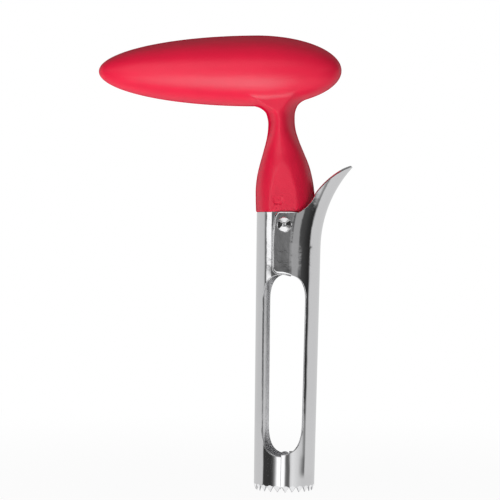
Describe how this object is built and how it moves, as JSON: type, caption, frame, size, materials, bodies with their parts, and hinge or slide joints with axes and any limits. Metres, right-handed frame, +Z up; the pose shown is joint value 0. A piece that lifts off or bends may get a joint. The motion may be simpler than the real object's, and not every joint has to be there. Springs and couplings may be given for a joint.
{
  "type": "apple corer",
  "caption": "Hand corer for apples: a toothed, windowed steel barrel of two half tubes under a T-shaped plastic grip, with a thumb lever that opens the barrel to drop the core.",
  "frame": {"origin": "on the barrel's axis at the tips of its teeth", "axes": "+Z up the barrel to the grip, +X towards the thumb lever, +Y away from the viewer, along the rivet"},
  "size_m": [0.1087, 0.0276, 0.1905],
  "materials": {
    "steel": "mirror-polished stainless steel sheet",
    "rivet": "polished stainless steel rivet",
    "core": "plain moulded plastic, hidden",
    "handle": "satin red plastic with a fine grain"
  },
  "bodies": {
    "handle_side": {"fixed_half": "steel", "rivet_post": "rivet", "rivet_pin": "rivet", "handle_core": "core", "handle_front_shell": "handle", "handle_back_shell": "handle"},
    "lever_side": {"moving_half": "steel"}
  },
  "joints": [
    {"name": "lever_pivot", "type": "hinge", "parent": "handle_side", "child": "lever_side", "pos_m": [0.0006, 0, 0.1109], "axis": [0, -1, 0], "range_deg": [0, 15]}
  ]
}
